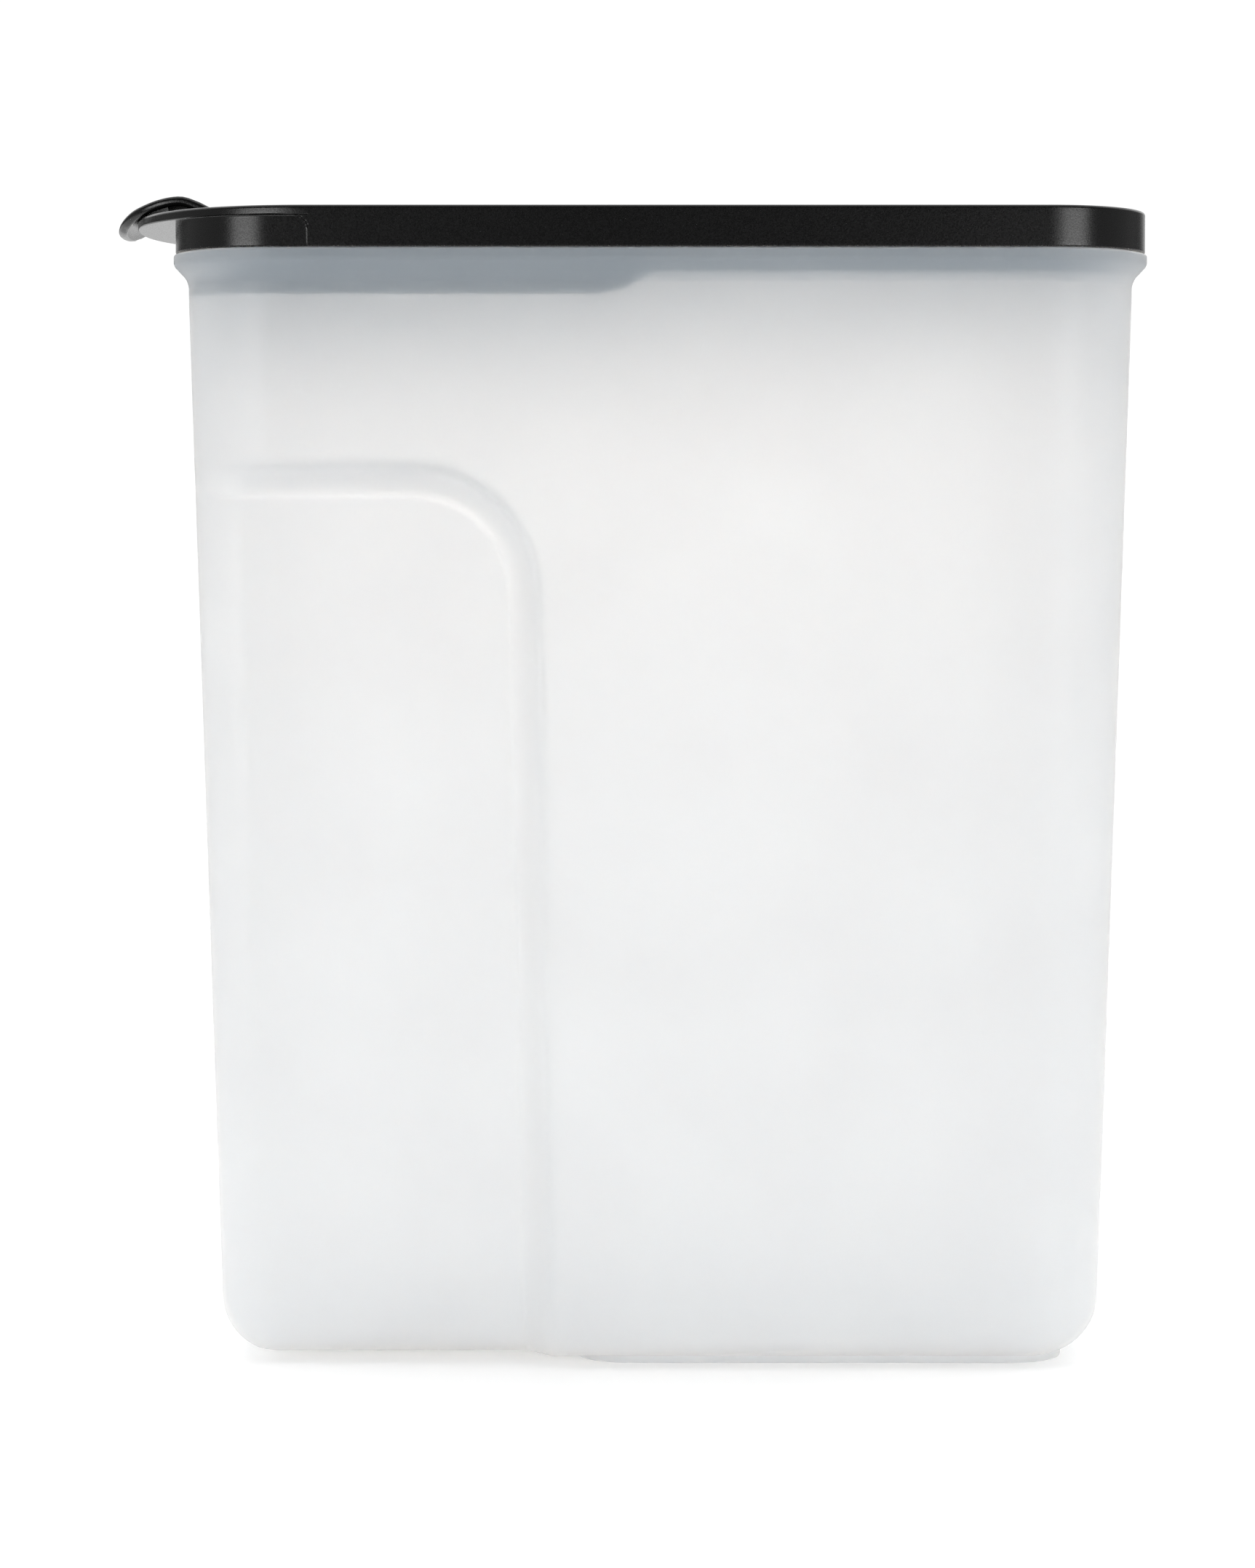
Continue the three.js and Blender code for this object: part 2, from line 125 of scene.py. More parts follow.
# Hinge and flip cap
HINGE_X = HINGE["pos_m"][0] / MM - MIDDLE_X
AXIS_Z = HINGE["pos_m"][2] / MM
CAP_END = -112.5
CAP_HALF_WIDTH = 39.4
CAP_CORNER = 20
CAP_TOP = LID_TOP - 0.2
CAP_THICKNESS = 2.2
CAP_UNDERSIDE = CAP_TOP - CAP_THICKNESS
CAP_CLEARANCE = 0.5
WELL_FLOOR = LID_TOP - 2.8
WELL_FLOOR_THICKNESS = 2
TUB_WALL = 1.7
HOLE = dict(start=-104, end=-42, half_width=32, corner=12)
COLLAR_BOTTOM = LID_TOP - 14
COLLAR_THICKNESS = 1.6
PLUG_CLEARANCE = 0.9
CAP_PLUG_THICKNESS = 2.6
CAP_PLUG_DEPTH = 6.6
GROOVE_DEPTH = 1.2
GROOVE_FROM = 2.1
GROOVE_TO = 4.9
BARREL_RADIUS = 2.2
BARREL_HALF_LENGTH = 39
PIN_RADIUS = 1.5
PIN_HALF_LENGTH = CAP_HIGH[1]
SOCKET_RADIUS = 1.6
TROUGH_HALF_WIDTH = 3.4
TROUGH_DEPTH = 2.7
TROUGH_CHAMFER = 1.7

# Thumb tab: its upper face along the middle, as X and height above the lid
TAB_ARCH = [
    (-103, -0.2), (-106.5, 0.3), (-109.5, 1.3), (-112.3, 2.7), (-115.3, 4.1), (-118.8, 5.1), (-122.3, 4.95),
    (-125.9, 4.2), (-129.2, 3.1), (-132, 1.9), (-134, 0.5), (-135.4, -1.0), (-136.1, -2.4), (-136.5, -3.6),
]
TAB_THICKNESS = 2.4
# A dark block under the tab that fills the gap under the arch, standing in for the shade there; it stops just
# above the lid
TAB_SHADE_BLOCK = dict(start=-114.5, end=-124, half_width=17, above_lid=0.15)
TAB_BOW = 2.4
TAB_HALF_WIDTH = 22
TAB_CORNER_START = -114
TAB_SQUARENESS = 3.2

# How finely curves are cut
CORNER_STEPS = 20
END_STEPS = 8
BASE_STEPS = 14
NOSE_COLUMNS = 110
GRIP_STEP = 0.8
COARSE_STEP = 3.5


# ---------- Mesh building ----------

def mesh_object(name, points, faces):
    """A new object from points in millimetres."""
    points = (np.asarray(points, float) + np.array([MIDDLE_X, 0, 0])) * MM
    mesh = bpy.data.meshes.new(name)
    mesh.from_pydata(points.tolist(), [], faces)
    mesh.validate()
    thing = bpy.data.objects.new(name, mesh)
    bpy.context.scene.collection.objects.link(thing)
    return thing


def loft(name, rings, closed=False):
    """A closed skin through rings of points. Without closed, its first and last ring are filled in."""
    count = len(rings[0])
    faces = []
    levels = len(rings) if closed else len(rings) - 1
    for level in range(levels):
        low = level * count
        high = ((level + 1) % len(rings)) * count
        for side in range(count):
            nxt = (side + 1) % count
            faces.append((low + side, low + nxt, high + nxt, high + side))
    if not closed:
        top = (len(rings) - 1) * count
        faces.append(tuple(reversed(range(count))))
        faces.append(tuple(range(top, top + count)))
    return mesh_object(name, np.concatenate(rings), faces)


def apply_modifiers(thing):
    graph = bpy.context.evaluated_depsgraph_get()
    mesh = bpy.data.meshes.new_from_object(thing.evaluated_get(graph), depsgraph=graph)
    thing.modifiers.clear()
    thing.data = mesh


def combine(target, operation, *others):
    """Joins the others to the target, or cuts them from it."""
    for other in others:
        modifier = target.modifiers.new(operation, "BOOLEAN")
        modifier.operation = operation
        modifier.solver = "MANIFOLD"
        modifier.object = other
        apply_modifiers(target)
        bpy.data.objects.remove(other)
    return target


def smooth(thing, sharp_degrees=32):
    """Smooth shading that keeps sharp edges, with flat faces left flat."""
    thing.data.shade_smooth()
    thing.data.set_sharp_from_angle(angle=math.radians(sharp_degrees))
    modifier = thing.modifiers.new("flat faces stay flat", "WEIGHTED_NORMAL")
    modifier.keep_sharp = True
    modifier.weight = 90
    apply_modifiers(thing)
    return thing


def arc(centre, radius, start_degrees, end_degrees, steps):
    """Points in the XY plane along an arc."""
    angles = np.radians(np.linspace(start_degrees, end_degrees, steps + 1))
    return np.stack([centre[0] + radius * np.cos(angles), centre[1] + radius * np.sin(angles)], 1)


def at_height(outline, z):
    """An XY outline as 3-D points, all at one height or each at its own."""
    return np.column_stack([outline, np.full(len(outline), z)])


def rounded_outline(half_length, half_width, radius, stations=(), centre_x=0):
    """An anticlockwise rounded rectangle. stations are the places on X of the points along its long sides."""
    across = np.linspace(-1, 1, END_STEPS + 1)[1:-1] * (half_width - radius)
    stations = np.asarray(stations, float)
    inner_x = half_length - radius
    inner_y = half_width - radius
    parts = [
        np.column_stack([np.full(len(across), half_length), across]),
        arc((inner_x, inner_y), radius, 0, 90, CORNER_STEPS),
        np.column_stack([stations[::-1], np.full(len(stations), half_width)]),
        arc((-inner_x, inner_y), radius, 90, 180, CORNER_STEPS),
        np.column_stack([np.full(len(across), -half_length), -across]),
        arc((-inner_x, -inner_y), radius, 180, 270, CORNER_STEPS),
        np.column_stack([stations, np.full(len(stations), -half_width)]),
        arc((inner_x, -inner_y), radius, 270, 360, CORNER_STEPS),
    ]
    outline = np.concatenate([part for part in parts if len(part)])
    outline[:, 0] += centre_x
    return outline


def span_outline(start, end, half_width, corner, grow=0):
    """A rounded rectangle between two places on X, grown all round."""
    half_length = (end - start) / 2 + grow
    return rounded_outline(half_length, half_width + grow, corner + grow, centre_x=(start + end) / 2)


def soft_ramp(value, half_width):
    """max(value, 0) with its corner rounded over half_width on both sides."""
    rounded = (value + half_width) ** 2 / (4 * half_width)
    return np.where(value < -half_width, 0, np.where(value > half_width, value, rounded))


def smoothstep(value, low, high):
    """0 below low, 1 above high, and a smooth S between."""
    t = np.clip((value - low) / (high - low), 0, 1)
    return t * t * (3 - 2 * t)


# ---------- Container ----------

def side_stations():
    """Places on X of the points along the long sides, close together where the grip's step bends."""
    bend_start, bend_end = -66, -21
    first, last = -84, 86
    fine = np.arange(bend_start, bend_end, GRIP_STEP)
    left = np.arange(first, bend_start - COARSE_STEP, COARSE_STEP)
    right = np.linspace(fine[-1] + 2, last, 16)
    return np.concatenate([left, fine, right])


STATIONS = side_stations()


def grip_distance(x, z):
    """How far a point of a side wall lies inside the grip's outline."""
    corner_z = GRIP_TOP - GRIP_RADIUS
    corner_x = GRIP_EDGE_AT_BASE - GRIP_LEAN * corner_z - GRIP_RADIUS
    straight = np.minimum(GRIP_EDGE_AT_BASE - GRIP_LEAN * z - x, GRIP_TOP - z)
    rounded = GRIP_RADIUS - np.hypot(x - corner_x, z - corner_z)
    return np.where((x > corner_x) & (z > corner_z), rounded, straight)


def wall_ring(z, inset, inside):
    """The container's outline at a height, moved in by inset, with the grip stepped in on both sides.

    inside is 0 for the outer skin and the wall's thickness for the inner one.
    """
    least_share = 0.12
    half_length = BASE_HALF_LENGTH + LEAN * z
    half_width = half_length - LID_HALF_LENGTH + LID_HALF_WIDTH
    top_corner = LID_CORNER - (LID_HALF_LENGTH - BASE_HALF_LENGTH - LEAN * NECK_START)
    corner = BASE_CORNER + (top_corner - BASE_CORNER) * z / NECK_START
    wide = rounded_outline(half_length - inset, half_width - inset, corner - inset, STATIONS)
    narrow_corner = max(corner - GRIP_DEPTH - inset, GRIP_SMALLEST_CORNER)
    narrow = rounded_outline(half_length - inset, half_width - GRIP_DEPTH - inset, narrow_corner, STATIONS)
    shift = narrow - wide
    share = np.clip(np.hypot(shift[:, 0], shift[:, 1]) / GRIP_DEPTH, least_share, 1)
    slanted_wall = inside * math.hypot(1, GRIP_RUN / GRIP_DEPTH)
    run = GRIP_RUN * share
    distance = grip_distance(wide[:, 0], z) + slanted_wall
    upper_edge, lower_edge = (1.6, 0.7) if inside == 0 else (1.0, 1.4)
    weight = (soft_ramp(distance, upper_edge) - soft_ramp(distance - run, lower_edge)) / run
    return at_height(wide + shift * np.clip(weight, 0, 1)[:, None], z)


def wall_heights():
    """Heights of the rings above the base's round edge, close together round the top of the grip."""
    low = UNDERSIDE + BASE_RADIUS
    corner_z = GRIP_TOP - GRIP_RADIUS
    lower = np.linspace(low, corner_z - 4, 24)[1:]
    fine = np.arange(corner_z - 3, GRIP_TOP + 4, GRIP_STEP)
    upper = np.linspace(GRIP_TOP + 6, NECK_START, 7)
    return np.concatenate([lower, fine, upper])


def base_rings(inside):
    """From the middle of the floor out and up round the base's edge."""
    radius = BASE_RADIUS - inside
    rings = []
    for step in range(BASE_STEPS + 1):
        angle = math.radians(90 * step / BASE_STEPS)
        z = UNDERSIDE + inside + radius * (1 - math.cos(angle))
        rings.append(wall_ring(z, inside + radius * (1 - math.sin(angle)), inside))
    flat = [rings[0] * np.array([scale, scale, 1]) for scale in (0.04, 0.3, 0.6, 0.85, 0.97)]
    return flat + rings


def lid_outline(inset):
    """The lid's outline without its nose, moved in by inset. It has as many points as a ring of the walls."""
    return rounded_outline(LID_HALF_LENGTH - inset, LID_HALF_WIDTH - inset, LID_CORNER - inset, STATIONS)


def arc_profile(centre_inset, centre_z, radius, start_degrees, end_degrees, steps):
    """Insets and heights along an arc in the profile plane."""
    angles = np.radians(np.linspace(start_degrees, end_degrees, steps + 1))
    return [(centre_inset - radius * math.cos(a), centre_z + radius * math.sin(a)) for a in angles]


def rim_profile():
    """The flare below the lip, the lip, the neck inside the lid, and down the neck's inside."""
    wall_inset = LID_HALF_LENGTH - BASE_HALF_LENGTH - LEAN * NECK_START
    fillet = 5
    lip = 2.4
    lip_edge = 0.6
    neck_round = 0.6
    inner = NECK_INSET + NECK_WALL
    return [
        *arc_profile(wall_inset - fillet, LIP_TOP - 8.5, fillet, 180, 130, 10),
        *arc_profile(lip - LIP_PROUD, LIP_TOP - LIP_THICKNESS + lip, lip, -50, 0, 10),
        *arc_profile(lip_edge - LIP_PROUD, LIP_TOP - lip_edge, lip_edge, 0, 90, 6),
        (NECK_INSET - 0.5, LIP_TOP),
        *arc_profile(NECK_INSET - 0.4, LIP_TOP + 0.4, 0.4, 270, 180, 4)[1:],
        (NECK_INSET, RIM_TOP - neck_round - 0.2),
        *arc_profile(NECK_INSET + neck_round, RIM_TOP - neck_round, neck_round, 0, 90, 5),
        *arc_profile(inner - neck_round, RIM_TOP - neck_round, neck_round, 90, 180, 5),
        (inner, LIP_TOP - 3),
        (inner + 0.2, NECK_START + 5),
    ]


def surface_height(x, y):
    """Height of the container's outer skin above a point of its base, without the grip."""
    half_length = BASE_HALF_LENGTH
    half_width = half_length - LID_HALF_LENGTH + LID_HALF_WIDTH
    outside_x = np.maximum(np.abs(x) - (half_length - BASE_CORNER), 0)
    outside_y = np.maximum(np.abs(y) - (half_width - BASE_CORNER), 0)
    inset = BASE_CORNER - np.hypot(outside_x, outside_y)
    into = np.clip(BASE_RADIUS - inset, 0, BASE_RADIUS)
    return UNDERSIDE + BASE_RADIUS - np.sqrt(BASE_RADIUS ** 2 - into ** 2)


def make_foot():
    """The ring that the container stands on, sunk a little into the floor above it."""
    round_edge = 0.5
    sunk = 0.6

    def outer(inset):
        return span_outline(**FOOT, grow=-inset)

    def inner(inset):
        return span_outline(**FOOT, grow=-FOOT_WIDTH + inset)

    def top_ring(outline):
        return np.column_stack([outline, surface_height(outline[:, 0], outline[:, 1]) + sunk])

    rings = [top_ring(inner(0)), at_height(inner(0), round_edge)]
    rings += [at_height(inner(round_edge * (1 - math.cos(a))), round_edge * (1 - math.sin(a)))
              for a in np.radians((30, 60, 90))]
    rings += [at_height(outer(round_edge * (1 - math.cos(a))), round_edge * (1 - math.sin(a)))
              for a in np.radians((90, 60, 30, 0))]
    rings.append(top_ring(outer(0)))
    return loft("foot", rings, closed=True)


def make_container():
    outer = base_rings(0) + [wall_ring(z, 0, 0) for z in wall_heights()]
    rim = [at_height(lid_outline(inset), z) for inset, z in rim_profile()]
    inner = [wall_ring(z, WALL, WALL) for z in wall_heights()[::-1]] + base_rings(WALL)[::-1]
    body = loft("container", outer + rim[1:] + inner)
    return smooth(combine(body, "UNION", make_foot()), 38)


# ---------- Lid ----------

# Places on X of the points along the lid's sides, close together at the seam where the nose starts
SEAM_STATIONS = np.concatenate([
    np.linspace(-92, -89, 4)[:-1], np.arange(-89, -84.2, 0.2), [-83.8, -83, -81], np.linspace(-76, 93, 26),
])


def resample(path, count):
    """count points spread evenly along a path, with both ends."""
    lengths = np.concatenate([[0], np.cumsum(np.hypot(*np.diff(path, axis=0).T))])
    places = np.linspace(0, lengths[-1], count)
    return np.column_stack([np.interp(places, lengths, path[:, axis]) for axis in range(2)])


def nose_half_width(x, inset):
    """Half the width of the plate at a place on X: the nose is half a superellipse."""
    reach = NOSE_REACH - NOSE_START - inset
    along = np.clip((-NOSE_START - x) / reach, 0, 1)
    return (LID_HALF_WIDTH - inset) * (1 - along ** NOSE_SQUARENESS) ** (1 / NOSE_SQUARENESS)


def nose_path(inset):
    """Round the nose from the first station on +Y to the first on -Y."""
    reach = NOSE_REACH - NOSE_START - inset
    half_width = LID_HALF_WIDTH - inset
    angles = np.linspace(0, math.pi, 600)
    along = np.sin(angles) ** (2 / NOSE_SQUARENESS)
    across = np.sign(np.cos(angles)) * np.abs(np.cos(angles)) ** (2 / NOSE_SQUARENESS)
    path = np.column_stack([-NOSE_START - reach * along, half_width * across])
    path = path[path[:, 0] < SEAM_STATIONS[0]]
    side = nose_half_width(SEAM_STATIONS[0], inset)
    return np.concatenate([[[SEAM_STATIONS[0], side]], path, [[SEAM_STATIONS[0], -side]]])


def end_path(half_length, half_width, corner):
    """Round the plain end of the lid, from the first station on +Y to the first on -Y."""
    inner_x = half_length - corner
    inner_y = half_width - corner
    return np.concatenate([
        [[SEAM_STATIONS[0], half_width]],
        arc((-inner_x, inner_y), corner, 90, 180, 80),
        arc((-inner_x, -inner_y), corner, 180, 270, 80),
        [[SEAM_STATIONS[0], -half_width]],
    ])


def lid_loop(inset, left="plain", left_inset=None):
    """The lid's outline moved in by inset, or by left_inset at its -X end.

    left says what that end is: plain, nose for the plate's nose, or stepped for the skirt below it, whose
    end face stands END_SKIRT_INSET further out than its sides do.
    """
    left_inset = inset if left_inset is None else left_inset
    half_width = LID_HALF_WIDTH - inset
    corner = LID_CORNER - inset
    inner_x = LID_HALF_LENGTH - LID_CORNER
    inner_y = LID_HALF_WIDTH - LID_CORNER
    across = np.linspace(-1, 1, END_STEPS + 1)[1:-1] * inner_y
    if left == "nose":
        beyond = SEAM_STATIONS < -NOSE_START
        side = np.where(beyond, nose_half_width(SEAM_STATIONS, left_inset), half_width)
        end = resample(nose_path(left_inset), NOSE_COLUMNS)[1:-1]
    else:
        side = np.where(SEAM_STATIONS < -NOSE_START, LID_HALF_WIDTH - left_inset, half_width)
        end_inset = max(left_inset - END_SKIRT_INSET, 0) if left == "stepped" else left_inset
        path = end_path(LID_HALF_LENGTH - end_inset, LID_HALF_WIDTH - left_inset, LID_CORNER - left_inset)
        end = resample(path, NOSE_COLUMNS)[1:-1]
    return np.concatenate([
        np.column_stack([np.full(len(across), LID_HALF_LENGTH - inset), across]),
        arc((inner_x, inner_y), corner, 0, 90, CORNER_STEPS),
        np.column_stack([SEAM_STATIONS[::-1], side[::-1]]),
        end,
        np.column_stack([SEAM_STATIONS, -side]),
        arc((inner_x, -inner_y), corner, 270, 360, CORNER_STEPS),
    ])


def seam_share(loop, z):
    """0 on the main skirt and 1 on the stepped-in end below the nose. The seam's upper corner is round."""
    centre_z = PLATE_UNDERSIDE - SEAM_RADIUS
    above = np.clip(z - centre_z, 0, SEAM_RADIUS)
    edge = -NOSE_START - (SEAM_RADIUS - math.sqrt(SEAM_RADIUS ** 2 - above ** 2))
    return smoothstep(edge - loop[:, 0], -0.1, 0.25)


def lid_outer_rings():
    """Up the skirt's outside to the plate's underside."""
    bottom_round = 0.35
    fillet = 0.4
    rings = []
    for inset, z in arc_profile(bottom_round, SKIRT_BOTTOM + bottom_round, bottom_round, -90, 0, 4):
        rings.append(at_height(lid_loop(inset, "stepped", inset + END_SKIRT_INSET), z))
    lower = np.linspace(SKIRT_BOTTOM + 1.4, SKIRT_BOTTOM + 3.8, 4)
    upper = np.linspace(SKIRT_BOTTOM + 4, PLATE_UNDERSIDE - fillet - 0.2, 16)
    for z in np.concatenate([lower, upper]):
        flush = lid_loop(0)
        stepped = lid_loop(0, "stepped", END_SKIRT_INSET)
        share = seam_share(flush, z)[:, None]
        rings.append(at_height(flush + (stepped - flush) * share, z))
    for angle in np.radians((0, 30, 60, 90)):
        z = PLATE_UNDERSIDE - fillet + fillet * math.sin(angle)
        flush = lid_loop(0)
        stepped = lid_loop(0, "stepped", END_SKIRT_INSET - fillet * (1 - math.cos(angle)))
        share = seam_share(flush, min(z, PLATE_UNDERSIDE - 1e-6))[:, None]
        rings.append(at_height(flush + (stepped - flush) * share, z))
    return rings


def nose_rings():
    """Out along the nose's underside, up the plate's edge and over onto the top.

    Away from the nose there is no underside, so there the rings are stacked a hair apart up the side.
    """
    edge = 0.8
    lower = 0.4
    hair = 0.05
    above_hairs = 0.06
    root = lid_outer_rings()[-1]
    at_nose = root[:, 0] < -NOSE_START
    out = at_height(lid_loop(0, "nose", lower), PLATE_UNDERSIDE)
    rings = []
    for share in (0.3, 0.6, 0.85):
        level = root + (out - root) * share
        side = at_height(lid_loop(0), PLATE_UNDERSIDE + hair * share)
        rings.append(np.where(at_nose[:, None], level, side))
    for inset, z in arc_profile(lower, PLATE_UNDERSIDE + lower, lower, -90, 0, 5):
        ring = at_height(lid_loop(0, "nose", inset), z)
        side_z = PLATE_UNDERSIDE + above_hairs + (z - PLATE_UNDERSIDE) * (lower - above_hairs) / lower
        ring[:, 2] = np.where(at_nose, z, side_z)
        rings.append(ring)
    for inset, z in arc_profile(edge, LID_TOP - edge, edge, 0, 90, 7):
        rings.append(at_height(lid_loop(inset, "nose"), z))
    rings.append(at_height(lid_loop(edge + 0.6, "nose"), LID_TOP))
    return rings


def lid_inner_rings():
    """From the underside in the middle, round the plug skirt, and round the inside of the outer skirt."""
    plug_round = 0.5
    half_step = 1.2
    plug_in = PLUG_INSET + PLUG_THICKNESS

    def plug_ring(inset, above_bottom):
        loop = lid_loop(inset)
        to_nose = 1 - smoothstep(loop[:, 0], HINGE_X - half_step, HINGE_X + half_step)
        bottom = PLUG_BOTTOM + (PLUG_BOTTOM_AT_NOSE - PLUG_BOTTOM) * to_nose
        return np.column_stack([loop, bottom + above_bottom])

    rings = [at_height(lid_loop(plug_in), PLATE_UNDERSIDE)]
    rings.append(plug_ring(plug_in, 2))
    rings += [plug_ring(plug_in - plug_round * (1 - math.cos(a)), plug_round * (1 - math.sin(a)))
              for a in np.radians((0, 30, 60, 90))]
    rings += [plug_ring(PLUG_INSET + 0.3 + plug_round * (1 - math.cos(a)), plug_round * (1 - math.sin(a)))
              for a in np.radians((90, 60, 30, 0))]
    rings.append(plug_ring(PLUG_INSET, 3))
    rings.append(at_height(lid_loop(PLUG_INSET), PLATE_UNDERSIDE))
    rings.append(at_height(lid_loop(SKIRT_THICKNESS), PLATE_UNDERSIDE))
    rings.append(at_height(lid_loop(SKIRT_THICKNESS), SKIRT_BOTTOM + 0.3))
    rings.append(at_height(lid_loop(SKIRT_THICKNESS - 0.3), SKIRT_BOTTOM))
    return rings


def cap_outline(grow):
    """The cap's outline grown all round but at the hinge, where its end is square."""
    end = CAP_END - grow
    half_width = CAP_HALF_WIDTH + grow
    corner = CAP_CORNER + grow
    inner_x = end + corner
    inner_y = half_width - corner
    side = np.linspace(HINGE_X, inner_x, 10)[1:-1]
    across = np.linspace(inner_y, -inner_y, 10)[1:-1]
    return np.concatenate([
        [[HINGE_X, half_width]],
        np.column_stack([side, np.full(len(side), half_width)]),
        arc((inner_x, inner_y), corner, 90, 180, CORNER_STEPS),
        np.column_stack([np.full(len(across), end), across]),
        arc((inner_x, -inner_y), corner, 180, 270, CORNER_STEPS),
        np.column_stack([side[::-1], np.full(len(side), -half_width)]),
        [[HINGE_X, -half_width]],
    ])


def prism(name, outline, low, high):
    """A flat XY outline carried up from low to high."""
    return loft(name, [at_height(outline, low), at_height(outline, high)])


def flared_cutter(name, outline_at, low, top, round_edge):
    """A cutter that rounds the edge where it comes out at the top. outline_at(grow) gives its outline."""
    rings = [at_height(outline_at(0), low)]
    for angle in np.radians(np.linspace(0, 90, 6)):
        grow = round_edge * (1 - math.cos(angle))
        rings.append(at_height(outline_at(grow), top - round_edge + round_edge * math.sin(angle)))
    rings.append(at_height(outline_at(round_edge), top + 3))
    return loft(name, rings)


def rod_across(name, radius, half_length, x, z, round_end=0.0):
    """A rod along Y with rounded ends."""
    sides = 40
    angles = np.linspace(0, 2 * math.pi, sides, endpoint=False)

    def ring(r, y):
        return np.column_stack([x + r * np.sin(angles), np.full(sides, y), z + r * np.cos(angles)])

    rings = [ring(radius - round_end, -half_length)]
    if round_end:
        rings.append(ring(radius, -half_length + round_end))
        rings.append(ring(radius, half_length - round_end))
    rings.append(ring(radius - round_end, half_length))
    return loft(name, rings)


def across_prism(name, profile, half_width):
    """A flat XZ shape carried along Y to both sides."""
    profile = np.asarray(profile, float)

    def ring(y):
        return np.column_stack([profile[:, 0], np.full(len(profile), y), profile[:, 1]])

    return loft(name, [ring(half_width), ring(-half_width)])


def make_lid():
    lid = loft("lid", lid_inner_rings() + lid_outer_rings() + nose_rings())
    tub_low = WELL_FLOOR - WELL_FLOOR_THICKNESS
    tub = prism("tub", cap_outline(CAP_CLEARANCE + TUB_WALL), tub_low, PLATE_UNDERSIDE + 0.5)
    within = prism("within", lid_loop(PLUG_INSET + 0.5), tub_low - 5, LID_TOP)
    combine(tub, "INTERSECT", within)
    trough_half_length = BARREL_HALF_LENGTH + 0.6
    left = HINGE_X - TROUGH_HALF_WIDTH
    right = HINGE_X + TROUGH_HALF_WIDTH
    floor = AXIS_Z - TROUGH_DEPTH
    trough_tub = across_prism("trough_tub", [
        (left - TUB_WALL, floor - TUB_WALL), (right + TUB_WALL, floor - TUB_WALL),
        (right + TUB_WALL, PLATE_UNDERSIDE + 0.5), (left - TUB_WALL, PLATE_UNDERSIDE + 0.5),
    ], trough_half_length + 4)
    collar = prism("collar", span_outline(**HOLE, grow=COLLAR_THICKNESS), COLLAR_BOTTOM, WELL_FLOOR - 0.5)
    combine(lid, "UNION", tub, trough_tub, collar)
    well = flared_cutter("well", lambda grow: cap_outline(CAP_CLEARANCE + grow), WELL_FLOOR, LID_TOP, 0.35)
    trough = across_prism("trough", [
        (left, floor), (right, floor), (right, LID_TOP - TROUGH_CHAMFER),
        (right + TROUGH_CHAMFER + 1, LID_TOP + 1), (left, LID_TOP + 1),
    ], trough_half_length)
    hole = flared_cutter(
        "hole", lambda grow: span_outline(**HOLE, grow=grow), COLLAR_BOTTOM - 2, WELL_FLOOR, 0.4,
    )
    socket = rod_across("socket", SOCKET_RADIUS, PIN_HALF_LENGTH + 0.4, HINGE_X, AXIS_Z)
    stacking = flared_cutter(
        "stacking", lambda grow: span_outline(**STACKING_RECESS, grow=grow),
        LID_TOP - STACKING_DEPTH, LID_TOP, 0.4,
    )
    return smooth(combine(lid, "DIFFERENCE", well, trough, hole, socket, stacking))


def seal_ring(name, outline_at, width, low, high):
    """A soft ring with a rounded square section. outline_at(inset) gives its outline, moved in."""
    half = (high - low) / 2
    middle = (high + low) / 2
    steps = 20
    squareness = 0.5
    rings = []
    for step in range(steps):
        angle = 2 * math.pi * step / steps
        across = math.copysign(abs(math.cos(angle)) ** squareness, math.cos(angle))
        up = math.copysign(abs(math.sin(angle)) ** squareness, math.sin(angle))
        rings.append(at_height(outline_at(width / 2 + across * width / 2), middle - up * half))
    return loft(name, rings, closed=True)


def make_rim_seal():
    low, high = RIM_SEAL_LOW[2], RIM_SEAL_HIGH[2]
    outer_inset = LID_HALF_WIDTH - RIM_SEAL_HIGH[1]
    gap = 0.3
    width = PLUG_INSET - gap - outer_inset

    def outline_at(inset):
        return lid_outline(outer_inset + inset)

    return smooth(seal_ring("rim_seal_ring", outline_at, width, low, high), 60)


# ---------- Flip cap ----------

def cap_plate():
    """The cap's flat plate with rounded edges."""
    edge = 0.6
    lower = 0.25
    rings = []
    for inset, z in arc_profile(lower, CAP_UNDERSIDE + lower, lower, -90, 0, 3):
        rings.append(at_height(cap_outline(-inset), z))
    for inset, z in arc_profile(edge, CAP_TOP - edge, edge, 0, 90, 6):
        rings.append(at_height(cap_outline(-inset), z))
    return loft("cap_plate", rings)


def catmull_rom(points, count):
    """A smooth curve through the points."""
    points = np.asarray(points, float)
    padded = np.concatenate([[2 * points[0] - points[1]], points, [2 * points[-1] - points[-2]]])
    result = []
    for place in np.linspace(0, len(points) - 1, count):
        index = min(int(place), len(points) - 2)
        t = place - index
        a, b, c, d = padded[index:index + 4]
        square = 2 * a - 5 * b + 4 * c - d
        cube = 3 * b - a - 3 * c + d
        result.append(0.5 * (2 * b + (c - a) * t + square * t ** 2 + cube * t ** 3))
    return np.array(result)


